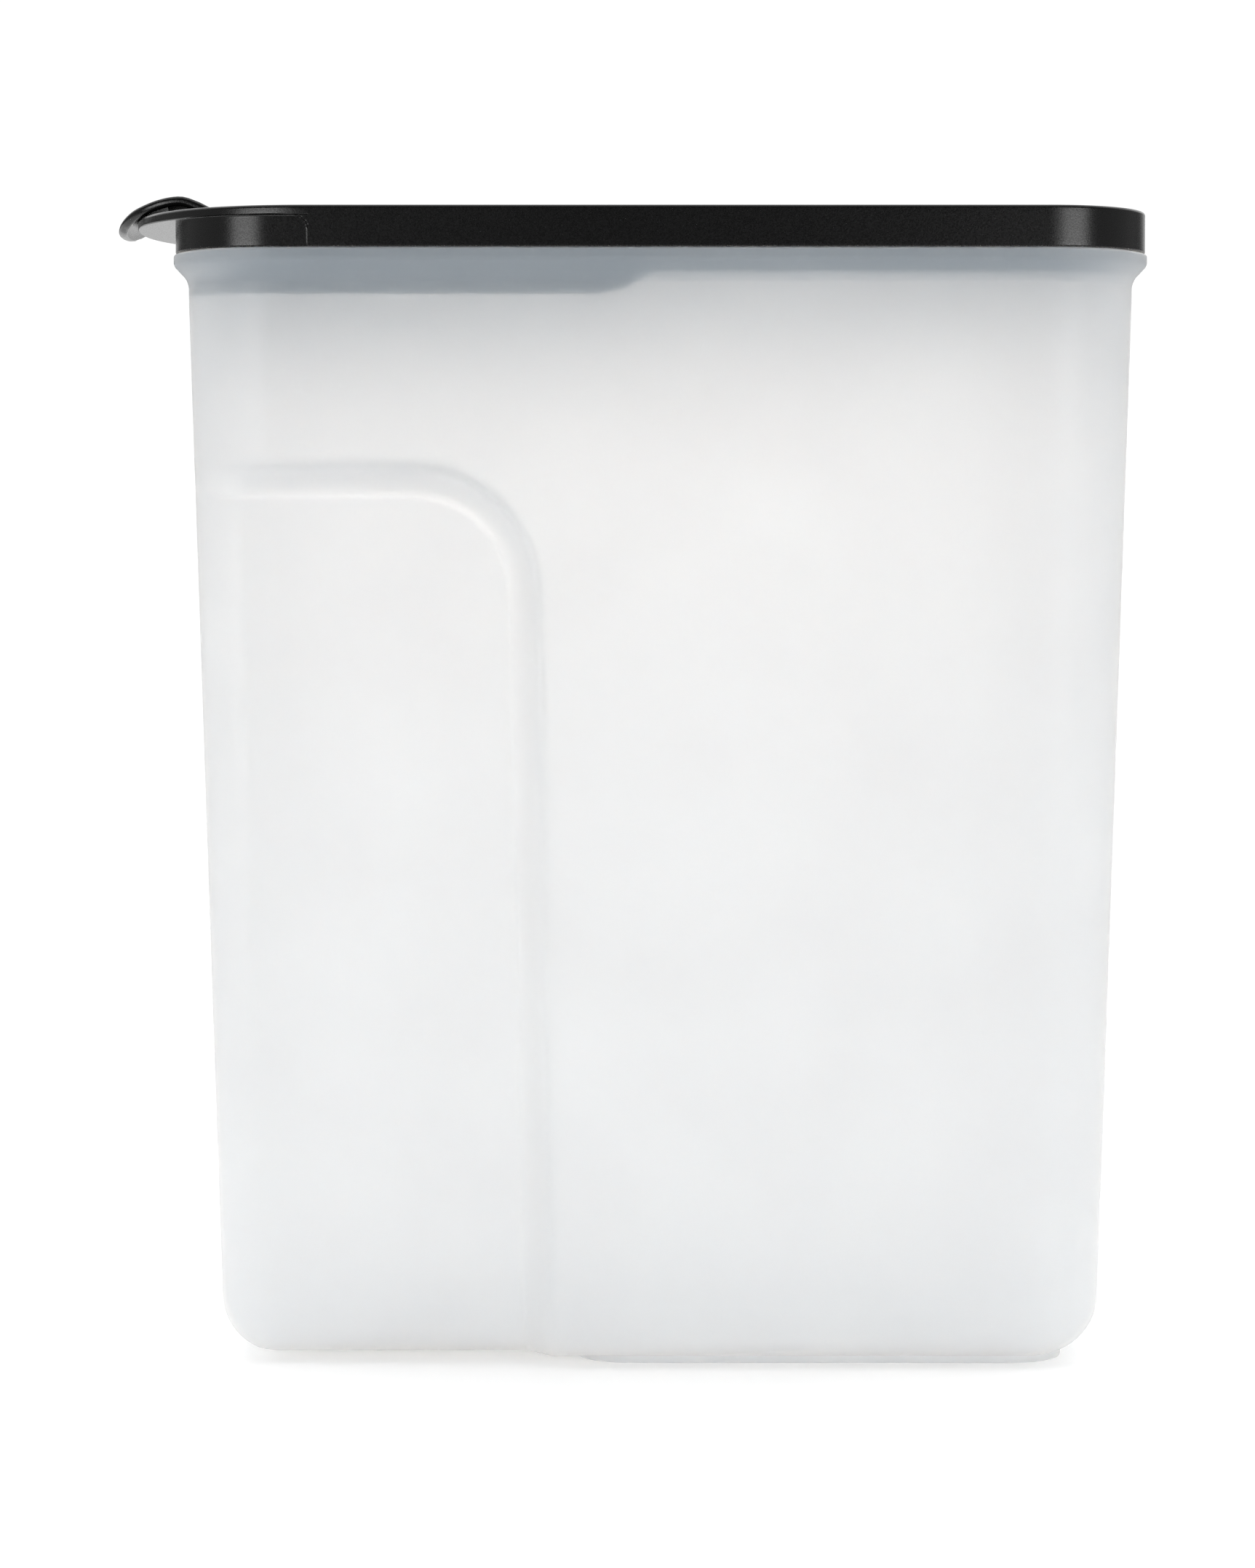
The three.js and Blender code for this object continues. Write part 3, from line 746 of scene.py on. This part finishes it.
class TabArch:
    """The thumb tab's bent upper face. It turns a place along, a place across and a depth into a point."""

    def __init__(self):
        self.line = catmull_rom(TAB_ARCH, 400)
        steps = np.hypot(*np.diff(self.line, axis=0).T)
        self.lengths = np.concatenate([[0], np.cumsum(steps)])
        self.length = self.lengths[-1]

    def along_at(self, x):
        """The place along the tab that is above a place on X."""
        return np.interp(-x, -self.line[:, 0], self.lengths)

    def on_line(self, along):
        """X and height of the middle line at a place along it."""
        return [np.interp(along, self.lengths, self.line[:, axis]) for axis in range(2)]

    def point(self, along, across, depth):
        x, z = self.on_line(along)
        nearby = 0.05
        ahead_x, ahead_z = self.on_line(np.clip(along + nearby, 0, self.length))
        behind_x, behind_z = self.on_line(np.clip(along - nearby, 0, self.length))
        dx = ahead_x - behind_x
        dz = ahead_z - behind_z
        size = np.hypot(dx, dz)
        towards_tip = np.clip((x - TAB_ARCH[0][0]) / (TAB_ARCH[-1][0] - TAB_ARCH[0][0]), 0, 1)
        bow = TAB_BOW * (across / TAB_HALF_WIDTH) ** 2 * towards_tip ** 2
        return np.column_stack([x - dz / size * depth + bow, across, LID_TOP + z + dx / size * depth])


def thumb_tab():
    """An arched plate with a rounded rim."""
    arch = TabArch()
    start = 0.0
    end = arch.length - 0.3
    corner_start = float(arch.along_at(TAB_CORNER_START))
    angles = np.linspace(0, math.pi, 90)
    along = np.abs(np.sin(angles)) ** (2 / TAB_SQUARENESS)
    across = np.sign(np.cos(angles)) * np.abs(np.cos(angles)) ** (2 / TAB_SQUARENESS)
    tip = np.column_stack([corner_start + (end - corner_start) * along, TAB_HALF_WIDTH * across])
    side = np.linspace(start, corner_start, 14)
    root = np.linspace(-TAB_HALF_WIDTH, TAB_HALF_WIDTH, 16)[1:-1]
    outline = np.concatenate([
        np.column_stack([side, np.full(len(side), TAB_HALF_WIDTH)]),
        tip[1:-1],
        np.column_stack([side[::-1], np.full(len(side), -TAB_HALF_WIDTH)]),
        np.column_stack([np.full(len(root), start), root]),
    ])
    centre = np.array([(start + end) / 2, 0])
    reach = np.array([(end - start) / 2, TAB_HALF_WIDTH])
    rim = 1.0

    def ring(inset, depth):
        scaled = centre + (outline - centre) * (1 - inset / reach)
        return arch.point(scaled[:, 0], scaled[:, 1], depth)

    shares = np.linspace(0.98, 0, 12)
    upper_bend = np.radians(np.linspace(15, 90, 6))
    lower_bend = np.radians(np.linspace(0, 90, 7))
    under_rim = TAB_THICKNESS - rim
    rings = [ring(rim + share * (reach.min() - rim), 0) for share in shares]
    rings += [ring(rim * (1 - math.sin(a)), rim * (1 - math.cos(a))) for a in upper_bend]
    rings += [ring(rim * (1 - math.cos(a)), under_rim + rim * math.sin(a)) for a in lower_bend]
    rings += [ring(rim + share * (reach.min() - rim), TAB_THICKNESS) for share in shares[::-1][1:]]
    return loft("tab", rings[::-1])


def tab_shade_block():
    """A dark block under the tab where it crosses the lid's plate. It fills the gap under the arch so that
    the gap shows black: painted shade made solid.
    """
    line = np.array(TAB_ARCH)
    inside = line[(line[:, 0] < TAB_SHADE_BLOCK["start"]) & (line[:, 0] > TAB_SHADE_BLOCK["end"])]
    upper = [(x, LID_TOP + z - TAB_THICKNESS / 2) for x, z in inside]
    lower = [(x, LID_TOP + TAB_SHADE_BLOCK["above_lid"]) for x in (upper[-1][0], upper[0][0])]
    return across_prism("tab_shade_block", upper + lower, TAB_SHADE_BLOCK["half_width"])


def cap_plug():
    """The ring below the cap, with a groove for its seal."""
    bottom = CAP_UNDERSIDE - CAP_PLUG_DEPTH
    edge = 0.4
    outside = -PLUG_CLEARANCE
    groove = outside - GROOVE_DEPTH
    inside = outside - CAP_PLUG_THICKNESS
    profile = [
        (inside, CAP_UNDERSIDE + 0.4), (inside, bottom + edge), (inside + edge, bottom),
        (outside - edge, bottom), (outside - 0.1, bottom + edge), (outside, bottom + 2 * edge),
        (outside, CAP_UNDERSIDE - GROOVE_TO), (groove, CAP_UNDERSIDE - GROOVE_TO),
        (groove, CAP_UNDERSIDE - GROOVE_FROM), (outside, CAP_UNDERSIDE - GROOVE_FROM),
        (outside, CAP_UNDERSIDE + 0.4),
    ]
    rings = [at_height(span_outline(**HOLE, grow=grow), z) for grow, z in profile]
    return loft("cap_plug", rings, closed=True)


def make_cap():
    """The flap, cut back beside its barrel so that only the pins reach into the lid's sockets."""
    cap = cap_plate()
    near, far = BARREL_HALF_LENGTH, LID_HALF_WIDTH
    left, right = HINGE_X - 6, HINGE_X + 1
    for side in (-1, 1):
        outline = np.array([(left, near), (left, far), (right, far), (right, near)])
        outline[:, 1] *= side
        outline = outline if side < 0 else outline[::-1]
        combine(cap, "DIFFERENCE", prism("relief", outline, CAP_UNDERSIDE - 1, CAP_TOP + 1))
    barrel = rod_across("barrel", BARREL_RADIUS, BARREL_HALF_LENGTH, HINGE_X, AXIS_Z, 0.3)
    pins = rod_across("pins", PIN_RADIUS, PIN_HALF_LENGTH, HINGE_X, AXIS_Z, 0.3)
    return smooth(combine(cap, "UNION", barrel, pins, cap_plug(), thumb_tab(), tab_shade_block()))


def make_cap_seal():
    low, high = CAP_SEAL_LOW[2], CAP_SEAL_HIGH[2]
    outer = CAP_SEAL_HIGH[1] - HOLE["half_width"]
    gap = 0.3
    width = PLUG_CLEARANCE + GROOVE_DEPTH - 2 * gap

    def outline_at(inset):
        return span_outline(**HOLE, grow=outer - inset)

    return smooth(seal_ring("cap_seal_ring", outline_at, width, low, high), 60)


# ---------- Materials ----------

PLASTIC_IOR = 1.49

# Of the light that meets a skin of the milky wall, this share goes through, and the rest is turned back
THROUGH_SHARE = 0.8

# Of the light that goes through, this share is only blurred, and the rest is scattered all round
BLURRED_SHARE = 0.7


def new_material(name):
    """A new material with its nodes, its links and its shader."""
    material = bpy.data.materials.new(name)
    material.use_nodes = True
    nodes = material.node_tree.nodes
    return material, nodes, material.node_tree.links, nodes["Principled BSDF"]


def noise(nodes, links, coordinates, scale, detail):
    texture = nodes.new("ShaderNodeTexNoise")
    texture.inputs["Scale"].default_value = scale
    texture.inputs["Detail"].default_value = detail
    links.new(coordinates, texture.inputs["Vector"])
    return texture.outputs["Fac"]


def ranged(nodes, links, value, low, high, from_low=0.3, from_high=0.7):
    """Maps a noise value, or one between from_low and from_high, onto a range."""
    node = nodes.new("ShaderNodeMapRange")
    node.inputs["From Min"].default_value = from_low
    node.inputs["From Max"].default_value = from_high
    node.inputs["To Min"].default_value = low
    node.inputs["To Max"].default_value = high
    links.new(value, node.inputs["Value"])
    return node.outputs["Result"]


def mixed_colour(nodes, links, factor, first, second):
    """A colour that wanders between two with a factor."""
    node = nodes.new("ShaderNodeMix")
    node.data_type = "RGBA"
    node.inputs["A"].default_value = (*first, 1)
    node.inputs["B"].default_value = (*second, 1)
    links.new(factor, node.inputs["Factor"])
    return node.outputs["Result"]


def bump(nodes, links, height, distance, strength):
    node = nodes.new("ShaderNodeBump")
    node.inputs["Distance"].default_value = distance
    node.inputs["Strength"].default_value = strength
    links.new(height, node.inputs["Height"])
    return node.outputs["Normal"]


def mixed_shader(nodes, links, share, first, second):
    """Two shaders mixed, with the second one's share."""
    node = nodes.new("ShaderNodeMixShader")
    node.inputs["Fac"].default_value = share
    links.new(first, node.inputs[1])
    links.new(second, node.inputs[2])
    return node.outputs["Shader"]


def object_coordinates(nodes):
    return nodes.new("ShaderNodeTexCoord").outputs["Object"]


def milky_polypropylene():
    """Frosted plastic. Each skin of a wall turns a little light back, bluish, and blurs what goes through."""
    material, nodes, links, shader = new_material("milky_polypropylene")
    where = object_coordinates(nodes)
    cloud = noise(nodes, links, where, 26, 3)
    fine = noise(nodes, links, where, 900, 2)
    shade = ranged(nodes, links, cloud, 0, 1)
    turned_back = mixed_colour(nodes, links, shade, (0.66, 0.80, 0.93), (0.70, 0.83, 0.95))
    let_through = mixed_colour(nodes, links, shade, (0.988, 0.9635, 0.9405), (0.9965, 0.9765, 0.956))
    normal = bump(nodes, links, fine, 0.00004, 0.35)
    links.new(turned_back, shader.inputs["Base Color"])
    links.new(ranged(nodes, links, cloud, 0.36, 0.44), shader.inputs["Roughness"])
    links.new(normal, shader.inputs["Normal"])
    shader.inputs["IOR"].default_value = PLASTIC_IOR
    shader.inputs["Coat Weight"].default_value = 1.0
    shader.inputs["Coat Roughness"].default_value = 0.3
    scattered = nodes.new("ShaderNodeBsdfTranslucent")
    links.new(let_through, scattered.inputs["Color"])
    links.new(normal, scattered.inputs["Normal"])
    blurred = nodes.new("ShaderNodeBsdfGlass")
    blurred.inputs["IOR"].default_value = PLASTIC_IOR
    blurred.inputs["Roughness"].default_value = 0.6
    links.new(let_through, blurred.inputs["Color"])
    links.new(normal, blurred.inputs["Normal"])
    through = mixed_shader(nodes, links, BLURRED_SHARE, scattered.outputs["BSDF"], blurred.outputs["BSDF"])
    skin = mixed_shader(nodes, links, THROUGH_SHARE, shader.outputs["BSDF"], through)
    links.new(skin, nodes["Material Output"].inputs["Surface"])
    return material


def black_polypropylene():
    """Satin black plastic with the fine grain of a textured mould."""
    material, nodes, links, shader = new_material("black_polypropylene")
    where = object_coordinates(nodes)
    grain = noise(nodes, links, where, 2600, 2)
    cloud = noise(nodes, links, where, 45, 3)
    shade = ranged(nodes, links, cloud, 0, 1)
    colour = mixed_colour(nodes, links, shade, (0.0012, 0.0012, 0.0013), (0.0020, 0.0020, 0.0021))
    links.new(colour, shader.inputs["Base Color"])
    links.new(ranged(nodes, links, grain, 0.24, 0.31), shader.inputs["Roughness"])
    links.new(bump(nodes, links, grain, 0.00003, 0.5), shader.inputs["Normal"])
    shader.inputs["IOR"].default_value = PLASTIC_IOR
    return material


def clear_silicone():
    """Soft milky silicone with a dull skin."""
    material, nodes, links, shader = new_material("clear_silicone")
    where = object_coordinates(nodes)
    fine = noise(nodes, links, where, 700, 2)
    shade = ranged(nodes, links, fine, 0, 1)
    colour = mixed_colour(nodes, links, shade, (0.52, 0.53, 0.54), (0.60, 0.61, 0.62))
    links.new(colour, shader.inputs["Base Color"])
    links.new(ranged(nodes, links, fine, 0.5, 0.62), shader.inputs["Roughness"])
    shader.inputs["Subsurface Weight"].default_value = 0.6
    shader.inputs["Subsurface Radius"].default_value = (1.0, 1.0, 1.0)
    shader.inputs["Subsurface Scale"].default_value = 0.002
    return material


def floor_material():
    """White paper that glows a little, as on a light table, and fades out into the white background."""
    material, nodes, links, shader = new_material("pale_floor")
    shader.inputs["Base Color"].default_value = (0.93, 0.93, 0.93, 1)
    shader.inputs["Roughness"].default_value = 0.9
    shader.inputs["Specular IOR Level"].default_value = 0.1
    shader.inputs["Emission Color"].default_value = (1, 1, 1, 1)
    shader.inputs["Emission Strength"].default_value = FLOOR_GLOW
    length = nodes.new("ShaderNodeVectorMath")
    length.operation = "LENGTH"
    links.new(object_coordinates(nodes), length.inputs[0])
    fade = ranged(nodes, links, length.outputs["Value"], 1, 0, FLOOR_FADE[0] * MM, FLOOR_FADE[1] * MM)
    links.new(fade, shader.inputs["Alpha"])
    return material


# ---------- Stage, light and camera ----------

# Distances from the middle, in millimetres, between which the floor fades out
FLOOR_FADE = (280, 900)
FLOOR_BELOW = 0.02

# Radiance of the surroundings, where 1 is the white of the picture
WHITE_BEHIND = 1.05
HORIZON = 0.05
DOME = 1.8
GROUND = 1.6
SIDE = 0.4
FLOOR_GLOW = 0.16

# Radiance of the softboxes
SOFTBOX_RADIANCE = 5.6
BACK_RADIANCE = 9
FRONT_RADIANCE = 1.1
FILL_RADIANCE = 2

# Camera, in metres, millimetres of film and radians
CAMERA_PLACE = (0.00039, -1.058, 0.187)
CAMERA_TILT_DOWN = 0.0421
FILM_LONG_SIDE = 24
FOCAL_LENGTH = 63.699


def make_floor():
    half = FLOOR_FADE[1] + 50
    outline = np.array([(-half, -half), (half, -half), (half, half), (-half, half)])
    floor = mesh_object("floor", at_height(outline, -FLOOR_BELOW), [(0, 1, 2, 3)])
    floor.data.materials.append(floor_material())


def softbox(name, place, size, radiance, aim_height=LID_TOP / 2, mirrored=True):
    """A soft lamp aimed at the canister's axis. The camera doesn't see it, and gloss only if mirrored."""
    lamp = bpy.data.lights.new(name, "AREA")
    lamp.shape = "RECTANGLE"
    lamp.size, lamp.size_y = size
    lamp.energy = radiance * math.pi * size[0] * size[1]
    thing = bpy.data.objects.new(name, lamp)
    thing.location = place
    aim = Vector((0, 0, aim_height * MM)) - Vector(place)
    thing.rotation_euler = aim.to_track_quat("-Z", "Y").to_euler()
    thing.visible_camera = False
    thing.visible_glossy = mirrored
    bpy.context.scene.collection.objects.link(thing)


def make_studio():
    """Bright above and below, more so behind, and dark round the horizon to keep the black lid black."""
    world = bpy.data.worlds.new("studio")
    bpy.context.scene.world = world
    world.use_nodes = True
    nodes = world.node_tree.nodes
    links = world.node_tree.links
    nodes.clear()
    direction = nodes.new("ShaderNodeTexCoord").outputs["Generated"]

    def glow(towards, dark_at, bright_at, strength):
        """Light from round one direction. It fades out between two cosines of the angle from it."""
        dot = nodes.new("ShaderNodeVectorMath")
        dot.operation = "DOT_PRODUCT"
        dot.inputs[1].default_value = Vector(towards).normalized()
        links.new(direction, dot.inputs[0])
        node = nodes.new("ShaderNodeMapRange")
        node.interpolation_type = "SMOOTHSTEP"
        node.inputs["From Min"].default_value = dark_at
        node.inputs["From Max"].default_value = bright_at
        node.inputs["To Min"].default_value = HORIZON
        node.inputs["To Max"].default_value = strength
        links.new(dot.outputs["Value"], node.inputs["Value"])
        return node.outputs["Result"]

    brightest = glow((0, 0.5, 0.866), 0.42, 0.6, DOME)
    for other in (
        glow((0, 0.35, -0.94), 0.25, 0.45, GROUND),
        glow((-1, 0, 0), 0.7, 0.95, SIDE),
        glow((1, 0, 0), 0.7, 0.95, SIDE),
    ):
        node = nodes.new("ShaderNodeMath")
        node.operation = "MAXIMUM"
        links.new(brightest, node.inputs[0])
        links.new(other, node.inputs[1])
        brightest = node.outputs["Value"]
    around = nodes.new("ShaderNodeBackground")
    links.new(brightest, around.inputs["Strength"])
    seen = nodes.new("ShaderNodeBackground")
    seen.inputs["Color"].default_value = (1, 1, 1, 1)
    seen.inputs["Strength"].default_value = WHITE_BEHIND
    path = nodes.new("ShaderNodeLightPath")
    mix = nodes.new("ShaderNodeMixShader")
    links.new(path.outputs["Is Camera Ray"], mix.inputs["Fac"])
    links.new(around.outputs["Background"], mix.inputs[1])
    links.new(seen.outputs["Background"], mix.inputs[2])
    output = nodes.new("ShaderNodeOutputWorld")
    links.new(mix.outputs["Shader"], output.inputs["Surface"])
    softbox("left_softbox", (-0.85, -1.35, 0.26), (0.8, 0.45), SOFTBOX_RADIANCE)
    softbox("right_softbox", (0.85, -1.35, 0.26), (0.8, 0.45), SOFTBOX_RADIANCE)
    softbox("back_softbox", (0, 0.26, 0.36), (0.4, 0.1), BACK_RADIANCE, LID_TOP * 0.9, False)
    softbox("front_softbox", (0, -1.4, 0.7), (1.2, 0.6), FRONT_RADIANCE, LID_TOP / 2, False)
    softbox("left_fill", (-0.8, -0.1, 0.25), (0.5, 0.5), FILL_RADIANCE, LID_TOP / 2, False)
    softbox("right_fill", (0.8, -0.1, 0.25), (0.5, 0.5), FILL_RADIANCE, LID_TOP / 2, False)
    bpy.context.scene.view_settings.view_transform = "Standard"


def make_camera():
    """Straight on to the long side, level with the upper part of the canister and tilted a little down."""
    camera_data = bpy.data.cameras.new("camera")
    camera_data.sensor_width = FILM_LONG_SIDE
    camera_data.lens = FOCAL_LENGTH
    camera = bpy.data.objects.new("camera", camera_data)
    camera.location = CAMERA_PLACE
    camera.rotation_euler = (math.pi / 2 - CAMERA_TILT_DOWN, 0, 0)
    bpy.context.scene.collection.objects.link(camera)
    bpy.context.scene.camera = camera


def dress(thing, material, body, slot, *nodes):
    """Gives a piece its material, hangs it on the body that carries it, and hides the CAD nodes it stands in
    for.
    """
    thing.data.materials.clear()
    thing.data.materials.append(material)
    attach(thing, body)
    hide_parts(*nodes)


make_camera()
make_floor()
make_studio()
MILKY = milky_polypropylene()
BLACK = black_polypropylene()
SILICONE = clear_silicone()
dress(make_container(), MILKY, "container", "milky_plastic", "container_body")
dress(make_lid(), BLACK, "lid", "black_plastic", "lid_base")
dress(make_rim_seal(), SILICONE, "lid", "clear_silicone", "rim_seal")
dress(make_cap(), BLACK, "cap", "black_plastic", "flip_cap")
dress(make_cap_seal(), SILICONE, "cap", "clear_silicone", "cap_seal")
